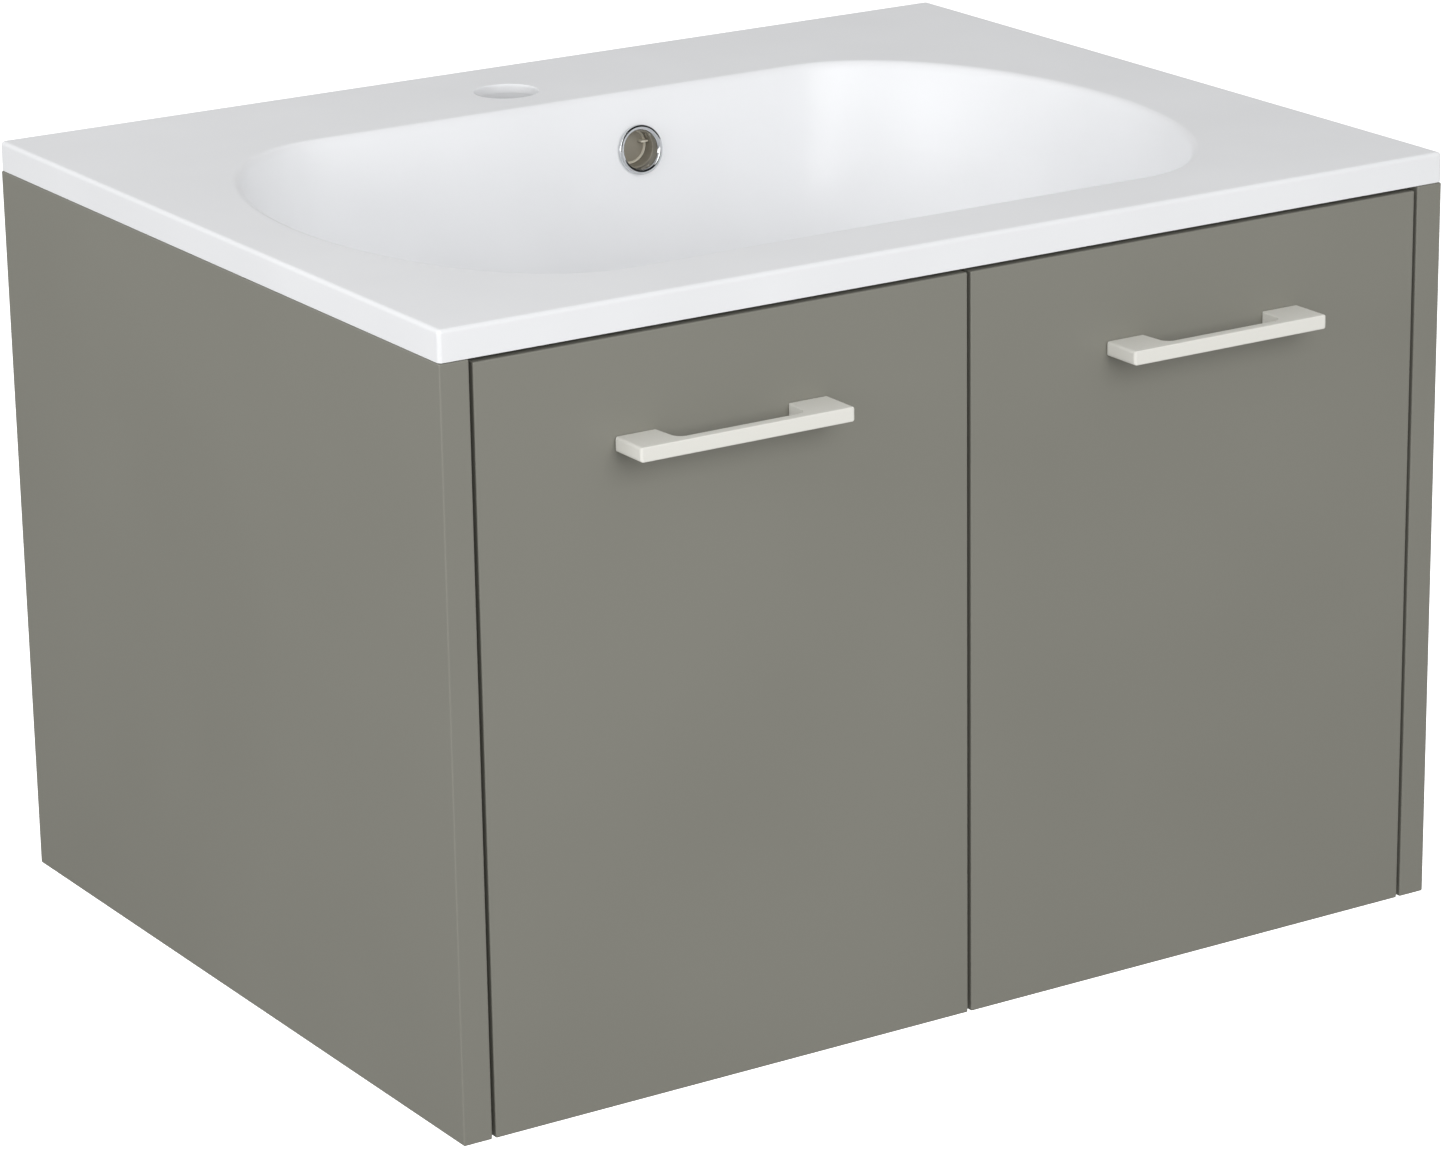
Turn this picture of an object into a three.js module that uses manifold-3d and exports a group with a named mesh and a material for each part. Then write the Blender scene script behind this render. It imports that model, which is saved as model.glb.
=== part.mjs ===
// Wall-hung bathroom vanity cabinet with a one-piece washbasin top and two hinged doors.
// Millimetres, +Z up, +X to the right of someone facing the doors, the wall plane at Y = 0.
// The cabinet is laid out from its underside, and the whole is then lowered so that Z = 0 is
// at the middle of the hanging rail, the face that meets the wall.

import * as THREE from 'three';
import { mergeVertices } from 'three/addons/utils/BufferGeometryUtils.js';
import Module from 'manifold-3d';

const wasm = await Module();
wasm.setup();

// ---- driving dimensions -------------------------------------------------------------------

const WIDTH = 600; // overall, along X
const DEPTH = 470; // wall to door fronts
const BODY_HEIGHT = 395; // side panels
const SLAB = 16; // thickness of the washbasin's flat top
const BOARD = 16; // every panel and rail
const SIDE_GAP = 2; // door edge to side panel
const MIDDLE_GAP = 2; // door to door
const TOP_GAP = 2.3; // door top to the washbasin's underside
const REST_GAP = 0.3; // between pieces that touch through a bumper or a thread

const RAIL_HEIGHT = 100; // both wall rails
const FRONT_RAIL_HEIGHT = 50;
const DOOR_CLEARANCE = 2; // door rear to carcass front edges

const BOWL_X = -11.5; // centre of the bowl and its drain
const BOWL_Y = -260.5;
const BOWL_HALF_LENGTH = 250;
const BOWL_HALF_WIDTH = 162;
const BOWL_STRAIGHT = 153; // half the straight run of the rim's front and back
const BOWL_DEPTH = 115;
const BOWL_WALL = 9;
const BOWL_COLUMNS = 56; // facets round the bowl
const FLOOR_EDGE = { share: 0.62, rise: 8 }; // where the floor meets the wall's curve
const WALL_FOOT = { share: 0.94, drop: 48 }; // where the wall's curve ends

const DRAIN_RADIUS = 21.6;
const DRAIN_BOSS_RADIUS = 40;
const DRAIN_BOSS_DROP = 12; // bowl floor to the boss's flat underside
const FLANGE_RADIUS = 32;
const FLANGE_THICKNESS = 2.5;
const WASTE_RADIUS = 21; // threaded tube
const WASTE_BORE = 18;
const WASTE_LENGTH = 80;
const PLUG_RADIUS = 29;
const PLUG_STEM_RADIUS = 7;
const PLUG_STEM_SOCKET = 12; // stem's length inside the cartridge
const SEAL_THICKNESS = 4;
const SEAL_RADIUS = 34;
const NUT_HEIGHT = 11;
const NUT_RADIUS = 31;
const CARTRIDGE = { radius: 11, height: 22, drop: 14, vane: 2.5, vaneHeight: 10 };

const TAP_X = -21.5;
const TAP_Y = -58.5;
const TAP_RADIUS = 17.5;

const OVERFLOW_X = 35;
const OVERFLOW_DROP = 32; // below the top face
const OVERFLOW_RING_RADIUS = 13.8;
const OVERFLOW_BORE = 10.6;
const OVERFLOW_HOLE = 11.5;
const ELBOW = { tube: 11, flange: 14, flangeThickness: 4, mouth: 10.2, mouthDepth: 11, reach: 14 };
const SPOUT = { radius: 9, bore: 6.5, drop: 30 };
const COLLAR = { radius: 28, height: 20, drop: 22, spigot: 8, spigotReach: 42 };
const PIPE_RADIUS = 9;

const HANDLE_LENGTH = 122;
const HANDLE_REACH = 24; // door face to the bar's front
const HANDLE_BAR = 6; // bar, front to back
const HANDLE_THICKNESS = 7.5;
const HANDLE_FOOT = 23;
const HANDLE_SLANT = 1.5; // the foot's inner edge leans this far along the bar
const HANDLE_Z = 340;
const HANDLE_X = 145; // handle centre, a little outside the middle of its door
const HANDLE_HOLES = 96;
const HANDLE_CORNER = 1.5; // the bar's rounded ends
const HANDLE_FILLET = 4.5; // foot to bar
const SCREW_RADIUS = 2;
const SCREW_HEAD_RADIUS = 4;
const SCREW_BITE = 9; // screw's length inside the handle's foot
const BUMPER = { radius: 4, x: 22, drop: 16 };

const HINGE_HEIGHTS = { lower: 90, upper: 300 };
const CUP_RADIUS = 17.5;
const CUP_DEPTH = 12;
const CUP_SETBACK = 22.5; // cup centre from the door's edge
const CUP_SHEET = 1.3; // thickness of the cup's wall
const CUP_FLANGE = { width: 24, height: 62, thickness: 1 };
const PIN_SETBACK = 14; // hinge pin from the door's edge
const PIN_BEHIND_FRONT = 9;
const PIN_RADIUS = 1.5;
const LINK_OFFSET = 12.5; // pin to the sliding leg, sideways
const LINK_THICKNESS = 3;
const LINK_HEIGHT = 12;
const LINK_TAIL = 64; // leg's end behind the door front
const ARM_FRONT = 28; // the arm's sleeve, behind the door front
const ARM_BACK = 72;
const ARM = { sleeveWall: 4, height: 18, crankHeight: 14, crankFrom: 16 };
const PLATE = { thickness: 3, front: 40, back: 78, height: 50 };

const HANGER = { width: 14, depth: 36, height: 60, z: 328, back: -8, wall: 6, slot: 4, slotRise: 22 };
const HOOK = { thickness: 3, back: -1, wall: 8, rise: 36, fingerRise: 26, fingerTop: 40, finger: 4 };

const ROUND = 32; // sides of a round piece

// ---- derived places -----------------------------------------------------------------------

const HALF = WIDTH / 2;
const INNER = HALF - BOARD; // inner face of a side panel
const FRONT = -DEPTH;
const DOOR_REAR = FRONT + BOARD;
const CARCASS_FRONT = DOOR_REAR + DOOR_CLEARANCE;
const TOP = BODY_HEIGHT + SLAB;
const BOWL_FLOOR = TOP - BOWL_DEPTH;
const BOSS_UNDERSIDE = BOWL_FLOOR - DRAIN_BOSS_DROP;
const DOOR_HEIGHT = BODY_HEIGHT - TOP_GAP;
const DOOR_EDGE = INNER - SIDE_GAP; // |x| of the hinge edge
const RAIL_CENTRE = BODY_HEIGHT - RAIL_HEIGHT / 2;

// ---- materials ----------------------------------------------------------------------------

const finish = (color, roughness, metalness = 0) =>
  new THREE.MeshStandardMaterial({ color, roughness, metalness });

const lacquer = finish(0x84837e, 0.45);
const mineralCast = finish(0xf0f1f3, 0.3);
const nickel = finish(0xcfd0ca, 0.35, 0.9);
const chrome = finish(0xe4e6e8, 0.08, 1);
const steel = finish(0xb4b6b8, 0.35, 1);
const greyPlastic = finish(0x8a857a, 0.5);
const whitePlastic = finish(0xe6e6e2, 0.5);
const rubber = finish(0x2b2b2b, 0.8);
const clearBumper = finish(0xd8dadb, 0.4);

// ---- shape helpers ------------------------------------------------------------------------

/** A closed three.js geometry as a solid that can be joined and cut. */
function toSolid(geometry) {
  const bare = new THREE.BufferGeometry();
  bare.setAttribute('position', geometry.attributes.position);
  bare.setIndex(geometry.index);
  const merged = mergeVertices(bare, 1e-4);
  const corners = merged.index.array;
  const kept = [];
  for (let i = 0; i < corners.length; i += 3) {
    const [a, b, c] = corners.subarray(i, i + 3);
    if (a !== b && b !== c && c !== a) kept.push(a, b, c);
  }
  return new wasm.Manifold(new wasm.Mesh({
    numProp: 3,
    vertProperties: new Float32Array(merged.attributes.position.array),
    triVerts: new Uint32Array(kept),
  }));
}

function toGeometry(solid) {
  const mesh = solid.getMesh();
  const geometry = new THREE.BufferGeometry();
  geometry.setAttribute('position', new THREE.BufferAttribute(mesh.vertProperties, 3));
  geometry.setIndex(new THREE.BufferAttribute(mesh.triVerts, 1));
  geometry.computeVertexNormals();
  return geometry;
}

const join = (first, ...others) =>
  others.reduce((sum, other) => sum.add(toSolid(other)), toSolid(first));

const cut = (solid, ...tools) =>
  tools.reduce((rest, tool) => rest.subtract(toSolid(tool)), solid);

/** A box between two corners. */
function block([x0, y0, z0], [x1, y1, z1]) {
  const geometry = new THREE.BoxGeometry(Math.abs(x1 - x0), Math.abs(y1 - y0), Math.abs(z1 - z0));
  return geometry.translate((x0 + x1) / 2, (y0 + y1) / 2, (z0 + z1) / 2);
}

/** A round bar between two heights. */
function upright(radius, x, y, z0, z1, sides = ROUND) {
  const geometry = new THREE.CylinderGeometry(radius, radius, z1 - z0, sides);
  return geometry.rotateX(Math.PI / 2).translate(x, y, (z0 + z1) / 2);
}

/** A round bar from front to back. */
function lengthwise(radius, x, z, y0, y1, sides = ROUND) {
  const geometry = new THREE.CylinderGeometry(radius, radius, y1 - y0, sides);
  return geometry.translate(x, (y0 + y1) / 2, z);
}

/** A turned piece: [radius, height] points on a closed outline, anticlockwise, about Z. */
function turned(points, x = 0, y = 0, sides = ROUND) {
  const profile = points.map(([radius, height]) => new THREE.Vector2(radius, height));
  if (points[0][0] > 0) profile.push(profile[0].clone());
  return new THREE.LatheGeometry(profile, sides).rotateX(Math.PI / 2).translate(x, y, 0);
}

const assembly = new THREE.Group();

function place(name, shape, material) {
  const geometry = shape.isBufferGeometry ? shape : toGeometry(shape);
  const mesh = new THREE.Mesh(geometry, material);
  mesh.name = name;
  assembly.add(mesh);
  return mesh;
}

const sides = { left: -1, right: 1 };

// ---- carcass ------------------------------------------------------------------------------

function buildCarcass() {
  for (const [side, s] of Object.entries(sides)) {
    place(`side_panel_${side}`, block([s * INNER, FRONT, 0], [s * HALF, 0, BODY_HEIGHT]), lacquer);
  }
  place('bottom_panel', block([-INNER, CARCASS_FRONT, 0], [INNER, 0, BOARD]), lacquer);
  place(
    'back_rail_lower',
    block([-INNER, -BOARD, BOARD], [INNER, 0, BOARD + RAIL_HEIGHT]),
    lacquer,
  );
  place(
    'front_rail',
    block(
      [-INNER, CARCASS_FRONT, BODY_HEIGHT - FRONT_RAIL_HEIGHT],
      [INNER, CARCASS_FRONT + BOARD, BODY_HEIGHT],
    ),
    lacquer,
  );
  place('back_rail_upper', hangingRail(), lacquer);
}

/** The hanging rail has a corner notch at each end, where the hanger sits. */
function hangingRail() {
  const notchWidth = HANGER.width + 8;
  const notchFloor = HANGER.z - 4;
  const rail = toSolid(block([-INNER, -BOARD, BODY_HEIGHT - RAIL_HEIGHT], [INNER, 0, BODY_HEIGHT]));
  return cut(rail, ...Object.values(sides).map((s) => block(
    [s * (INNER - notchWidth), -BOARD - 1, notchFloor],
    [s * (INNER + 1), 1, BODY_HEIGHT + 1],
  )));
}

/** A cabinet hanger: a screwed-on housing, with a steel hook that looks out at the back. */
function buildHangers() {
  const front = HANGER.back - HANGER.depth;
  const top = HANGER.z + HANGER.height;
  for (const [side, s] of Object.entries(sides)) {
    const outer = s * INNER;
    const inner = s * (INNER - HANGER.width);
    const middle = (outer + inner) / 2;
    const housing = toSolid(block([outer, front, HANGER.z], [inner, HANGER.back, top]));
    const slot = block(
      [middle - HANGER.slot / 2, front + HANGER.wall, HANGER.z + HANGER.slotRise],
      [middle + HANGER.slot / 2, HANGER.back + 1, top - HANGER.wall],
    );
    place(`hanger_housing_${side}`, cut(housing, slot), whitePlastic);
    const hookHalf = HOOK.thickness / 2;
    const shank = block(
      [middle - hookHalf, front + HOOK.wall, HANGER.z + HOOK.rise],
      [middle + hookHalf, HOOK.back, top - HOOK.wall],
    );
    const finger = block(
      [middle - hookHalf, HOOK.back - HOOK.finger, HANGER.z + HOOK.fingerRise],
      [middle + hookHalf, HOOK.back, HANGER.z + HOOK.fingerTop],
    );
    place(`hanger_hook_${side}`, join(shank, finger), steel);
  }
}

// ---- washbasin ----------------------------------------------------------------------------

/** The rim seen from above: straight front and back, half-ellipse ends, grown outwards. */
function rimOutline(growth) {
  const halfWidth = BOWL_HALF_WIDTH + growth;
  const endReach = BOWL_HALF_LENGTH - BOWL_STRAIGHT + growth;
  const s = BOWL_STRAIGHT;
  const rim = new THREE.CurvePath();
  const quarter = Math.PI / 2;
  const point = (x, y) => new THREE.Vector2(x, y);
  rim.add(new THREE.EllipseCurve(s, 0, endReach, halfWidth, 0, quarter));
  rim.add(new THREE.LineCurve(point(s, halfWidth), point(-s, halfWidth)));
  rim.add(new THREE.EllipseCurve(-s, 0, endReach, halfWidth, quarter, 3 * quarter));
  rim.add(new THREE.LineCurve(point(-s, -halfWidth), point(s, -halfWidth)));
  rim.add(new THREE.EllipseCurve(s, 0, endReach, halfWidth, 3 * quarter, 4 * quarter));
  return rim;
}

/** From the floor's centre to the rim: x is the share of the rim's outline, y the depth. */
function bowlProfile() {
  const path = new THREE.Path();
  path.moveTo(0, -BOWL_DEPTH);
  path.lineTo(DRAIN_BOSS_RADIUS / BOWL_HALF_WIDTH, -BOWL_DEPTH);
  path.lineTo(FLOOR_EDGE.share, -BOWL_DEPTH + FLOOR_EDGE.rise);
  path.bezierCurveTo(0.82, -BOWL_DEPTH + 12, 0.9, -78, WALL_FOOT.share, -WALL_FOOT.drop);
  path.bezierCurveTo(0.955, -36, 0.97, -16, 1, 0);
  return path.getPoints(6);
}

/** The bowl's space (growth 0) or its outer body (growth = wall), up to a flat top. */
function bowlBody(growth, top) {
  const columns = BOWL_COLUMNS;
  const outline = rimOutline(growth);
  const profile = bowlProfile().map(({ x, y }) => new THREE.Vector2(x, TOP + y - growth));
  const rimHeight = profile.at(-1).y;
  if (top > rimHeight) profile.push(new THREE.Vector2(1, top));
  profile.push(new THREE.Vector2(0, top));
  const geometry = new THREE.LatheGeometry(profile, columns).rotateX(Math.PI / 2);
  const vertex = geometry.attributes.position;
  for (let i = 0; i < vertex.count; i += 1) {
    const share = Math.hypot(vertex.getX(i), vertex.getY(i));
    const turn = Math.atan2(vertex.getY(i), vertex.getX(i)) / (2 * Math.PI);
    const step = Math.round(turn * columns + columns) % columns;
    const at = outline.getPointAt(step / columns);
    vertex.setXY(i, BOWL_X + share * at.x, BOWL_Y + share * at.y);
  }
  return geometry;
}

/** Y of the bowl's back wall, inside, at a depth below the top face. */
function backWallAt(drop) {
  const profile = bowlProfile();
  const above = profile.findIndex(({ y }) => y >= -drop);
  const [low, high] = [profile[above - 1], profile[above]];
  const share = low.x + ((high.x - low.x) * (-drop - low.y)) / (high.y - low.y);
  return BOWL_Y + share * BOWL_HALF_WIDTH;
}

/** The casting is one piece, kept as two solids that meet at the underside of the flat top. */
function buildWashbasin() {
  const slab = block([-HALF, FRONT, BODY_HEIGHT], [HALF, 0, TOP]);
  const deep = bowlBody(BOWL_WALL, BODY_HEIGHT + SLAB / 2);
  const above = block([-HALF, FRONT, BODY_HEIGHT], [HALF, 0, TOP + SLAB]);
  const boss = upright(DRAIN_BOSS_RADIUS, BOWL_X, BOWL_Y, BOSS_UNDERSIDE, BOWL_FLOOR - 1);
  const seat = BOWL_FLOOR - FLANGE_THICKNESS;
  const wall = backWallAt(OVERFLOW_DROP);
  place('washbasin_top', cut(
    toSolid(slab),
    bowlBody(0, TOP + 2),
    upright(TAP_RADIUS, TAP_X, TAP_Y, BODY_HEIGHT - 1, TOP + 1),
  ), mineralCast);
  place('washbasin_bowl', cut(
    join(deep, boss),
    above,
    bowlBody(0, TOP + 2),
    upright(DRAIN_RADIUS, BOWL_X, BOWL_Y, BOSS_UNDERSIDE - 1, BOWL_FLOOR + 1),
    upright(FLANGE_RADIUS + REST_GAP, BOWL_X, BOWL_Y, seat, BOWL_FLOOR + 1),
    lengthwise(OVERFLOW_HOLE, OVERFLOW_X, TOP - OVERFLOW_DROP, wall - 12, wall + 30, 24),
  ), mineralCast);
}

// ---- overflow and waste -------------------------------------------------------------------

function buildOverflow() {
  const z = TOP - OVERFLOW_DROP;
  const wall = backWallAt(OVERFLOW_DROP);
  const lowEdge = backWallAt(OVERFLOW_DROP + OVERFLOW_RING_RADIUS);
  const highEdge = backWallAt(OVERFLOW_DROP - OVERFLOW_RING_RADIUS);
  const lean = Math.atan2(highEdge - lowEdge, 2 * OVERFLOW_RING_RADIUS);

  const ringProfile = [
    [OVERFLOW_BORE, 0.8],
    [OVERFLOW_RING_RADIUS, 0.8],
    [OVERFLOW_RING_RADIUS - 0.6, 2.2],
    [OVERFLOW_RING_RADIUS - 1.8, 2.8],
    [OVERFLOW_BORE + 0.4, 2],
  ];
  const ring = turned(ringProfile).rotateX(Math.PI / 2 - lean).translate(OVERFLOW_X, wall, z);
  place('overflow_ring', ring, chrome);

  const outside = BOWL_Y + BOWL_HALF_WIDTH + BOWL_WALL + REST_GAP;
  const spoutY = outside + ELBOW.reach;
  const mouthEnd = wall + ELBOW.mouthDepth;
  const mouthFloor = z - ELBOW.mouth;
  const elbow = join(
    lengthwise(ELBOW.tube, OVERFLOW_X, z, wall + 3, outside + 2, 24),
    lengthwise(ELBOW.flange, OVERFLOW_X, z, outside, outside + ELBOW.flangeThickness, 24),
    lengthwise(OVERFLOW_HOLE, OVERFLOW_X, z, outside + 3, spoutY + 10, 24),
    upright(SPOUT.radius, OVERFLOW_X, spoutY, z - SPOUT.drop, z, 24),
  );
  place('overflow_elbow', cut(
    elbow,
    lengthwise(ELBOW.mouth, OVERFLOW_X, z, wall, mouthEnd, 24),
    block(
      [OVERFLOW_X - 4, mouthEnd - 1, mouthFloor + 0.4],
      [OVERFLOW_X + 4, spoutY + 4, mouthFloor + 3.4],
    ),
    upright(SPOUT.bore, OVERFLOW_X, spoutY, z - SPOUT.drop - 1, mouthFloor + 3, 24),
  ), greyPlastic);

  const collarTop = BOSS_UNDERSIDE - COLLAR.drop;
  const collarFloor = collarTop - COLLAR.height;
  const inletY = BOWL_Y + COLLAR.spigotReach;
  const inletZ = (collarTop + collarFloor) / 2;
  place('overflow_collar', cut(
    join(
      upright(COLLAR.radius, BOWL_X, BOWL_Y, collarFloor, collarTop),
      lengthwise(COLLAR.spigot, BOWL_X, inletZ, BOWL_Y + 20, inletY, 20),
    ),
    upright(WASTE_RADIUS + REST_GAP, BOWL_X, BOWL_Y, collarFloor - 1, collarTop + 1),
  ), greyPlastic);

  const route = new THREE.CatmullRomCurve3([
    new THREE.Vector3(OVERFLOW_X, spoutY, z - SPOUT.drop - REST_GAP),
    new THREE.Vector3(OVERFLOW_X, spoutY, z - 70),
    new THREE.Vector3(OVERFLOW_X - 4, spoutY - 18, inletZ + 20),
    new THREE.Vector3(BOWL_X + 6, inletY + 60, inletZ),
    new THREE.Vector3(BOWL_X, inletY + 20, inletZ),
    new THREE.Vector3(BOWL_X, inletY + REST_GAP, inletZ),
  ]);
  const section = new THREE.Shape();
  section.absarc(0, 0, PIPE_RADIUS, 0, 2 * Math.PI);
  place('overflow_pipe', new THREE.ExtrudeGeometry(section, {
    extrudePath: route,
    steps: 24,
    curveSegments: 5,
    bevelEnabled: false,
  }), greyPlastic);
}

function buildWaste() {
  const seat = BOWL_FLOOR - FLANGE_THICKNESS;
  const foot = BOWL_FLOOR - WASTE_LENGTH;
  place('waste_body', turned([
    [WASTE_BORE, foot],
    [WASTE_RADIUS, foot],
    [WASTE_RADIUS, seat],
    [FLANGE_RADIUS, seat],
    [FLANGE_RADIUS, BOWL_FLOOR - 0.8],
    [FLANGE_RADIUS - 2, BOWL_FLOOR],
    [WASTE_BORE + 4, BOWL_FLOOR],
    [WASTE_BORE, BOWL_FLOOR - 2],
  ], BOWL_X, BOWL_Y), chrome);

  const sealTop = BOSS_UNDERSIDE - REST_GAP;
  place('waste_seal', turned([
    [WASTE_RADIUS + REST_GAP, sealTop - SEAL_THICKNESS],
    [SEAL_RADIUS, sealTop - SEAL_THICKNESS],
    [SEAL_RADIUS + 2, sealTop],
    [WASTE_RADIUS + REST_GAP, sealTop],
  ], BOWL_X, BOWL_Y), rubber);

  const nutTop = sealTop - SEAL_THICKNESS - REST_GAP;
  const hexagon = new THREE.CylinderGeometry(NUT_RADIUS, NUT_RADIUS, NUT_HEIGHT, 6);
  hexagon.rotateX(Math.PI / 2).translate(BOWL_X, BOWL_Y, nutTop - NUT_HEIGHT / 2);
  place('waste_nut', cut(
    toSolid(hexagon),
    upright(WASTE_RADIUS + REST_GAP, BOWL_X, BOWL_Y, nutTop - NUT_HEIGHT - 1, nutTop + 1),
  ), greyPlastic);

  const hubTop = BOWL_FLOOR - CARTRIDGE.drop;
  const vaneLength = 2 * (WASTE_BORE - REST_GAP);
  const vanes = [0, 1, 2].map((turn) => {
    const vane = new THREE.BoxGeometry(vaneLength, CARTRIDGE.vane, CARTRIDGE.vaneHeight);
    return vane.rotateZ((turn * Math.PI) / 3).translate(BOWL_X, BOWL_Y, hubTop - 6);
  });
  const socketFloor = hubTop - PLUG_STEM_SOCKET - 4;
  place('waste_cartridge', cut(
    join(upright(CARTRIDGE.radius, BOWL_X, BOWL_Y, hubTop - CARTRIDGE.height, hubTop), ...vanes),
    upright(PLUG_STEM_RADIUS + REST_GAP, BOWL_X, BOWL_Y, socketFloor, hubTop + 1),
  ), whitePlastic);

  const capFloor = BOWL_FLOOR + REST_GAP;
  place('waste_plug', turned([
    [0, hubTop - PLUG_STEM_SOCKET],
    [PLUG_STEM_RADIUS, hubTop - PLUG_STEM_SOCKET],
    [PLUG_STEM_RADIUS, capFloor],
    [PLUG_RADIUS, capFloor],
    [PLUG_RADIUS + 0.6, capFloor + 1.6],
    [PLUG_RADIUS - 1, capFloor + 3],
    [PLUG_RADIUS * 0.6, capFloor + 4.6],
    [0, capFloor + 5.2],
  ], BOWL_X, BOWL_Y), chrome);
}

// ---- doors, handles, bumpers --------------------------------------------------------------

/** A door board, bored for two hinge cups and two handle screws. */
function buildDoor(side, s) {
  const cups = Object.values(HINGE_HEIGHTS).map((z) => lengthwise(
    CUP_RADIUS, s * (DOOR_EDGE - CUP_SETBACK), z, DOOR_REAR - CUP_DEPTH, DOOR_REAR + 1,
  ));
  const screwHoles = [-1, 1].map((end) => lengthwise(
    SCREW_RADIUS + REST_GAP, s * HANDLE_X + (end * HANDLE_HOLES) / 2, HANDLE_Z,
    FRONT - 1, DOOR_REAR + 1, 12,
  ));
  const board = toSolid(block(
    [s * (MIDDLE_GAP / 2), FRONT, 0],
    [s * DOOR_EDGE, DOOR_REAR, DOOR_HEIGHT],
  ));
  place(`door_${side}`, cut(board, ...cups, ...screwHoles), lacquer);
}

/** A flat bow handle cut from one outline, seen from above, with a foot at each end. */
function handleShape() {
  const end = HANDLE_LENGTH / 2;
  const inner = end - HANDLE_FOOT;
  const barBack = -(HANDLE_REACH - HANDLE_BAR);
  const fillet = HANDLE_FILLET;
  const corner = HANDLE_CORNER;
  const outline = new THREE.Shape();
  outline.moveTo(-end, 0);
  outline.lineTo(-end, -HANDLE_REACH + corner);
  outline.quadraticCurveTo(-end, -HANDLE_REACH, -end + corner, -HANDLE_REACH);
  outline.lineTo(end - corner, -HANDLE_REACH);
  outline.quadraticCurveTo(end, -HANDLE_REACH, end, -HANDLE_REACH + corner);
  outline.lineTo(end, 0);
  outline.lineTo(inner, 0);
  outline.lineTo(inner - HANDLE_SLANT * 0.7, barBack + fillet);
  outline.quadraticCurveTo(inner - HANDLE_SLANT, barBack, inner - HANDLE_SLANT - fillet, barBack);
  outline.lineTo(-inner + HANDLE_SLANT + fillet, barBack);
  outline.quadraticCurveTo(
    -inner + HANDLE_SLANT, barBack, -inner + HANDLE_SLANT * 0.7, barBack + fillet,
  );
  outline.lineTo(-inner, 0);
  outline.closePath();
  return new THREE.ExtrudeGeometry(outline, {
    depth: HANDLE_THICKNESS,
    curveSegments: 4,
    bevelEnabled: false,
  });
}

function buildHandle(side, s) {
  const centre = s * HANDLE_X;
  const body = toSolid(handleShape().translate(centre, FRONT, HANDLE_Z - HANDLE_THICKNESS / 2));
  const ends = [-1, 1].map((end) => centre + (end * HANDLE_HOLES) / 2);
  const threads = ends.map((x) => lengthwise(
    SCREW_RADIUS + REST_GAP, x, HANDLE_Z, FRONT - SCREW_BITE - 1, FRONT + 1, 12,
  ));
  place(`handle_${side}`, cut(body, ...threads), nickel);

  ends.forEach((x, i) => {
    const screw = turned([
      [0, -SCREW_BITE],
      [SCREW_RADIUS, -SCREW_BITE],
      [SCREW_RADIUS, BOARD + REST_GAP],
      [SCREW_HEAD_RADIUS, BOARD + REST_GAP],
      [SCREW_HEAD_RADIUS - 0.4, BOARD + 2],
      [0, BOARD + 2.6],
    ], 0, 0, 12);
    screw.rotateX(-Math.PI / 2).translate(x, FRONT, HANDLE_Z);
    place(`handle_screw_${side}_${i + 1}`, screw, steel);
  });
}

/** A soft stop on the front rail, just short of the door's free corner. */
function buildBumper(side, s) {
  const z = BODY_HEIGHT - BUMPER.drop;
  const bumper = lengthwise(
    BUMPER.radius, s * BUMPER.x, z, DOOR_REAR + REST_GAP, CARCASS_FRONT, 16,
  );
  place(`door_bumper_${side}`, bumper, clearBumper);
}

// ---- concealed hinges ---------------------------------------------------------------------

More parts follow.
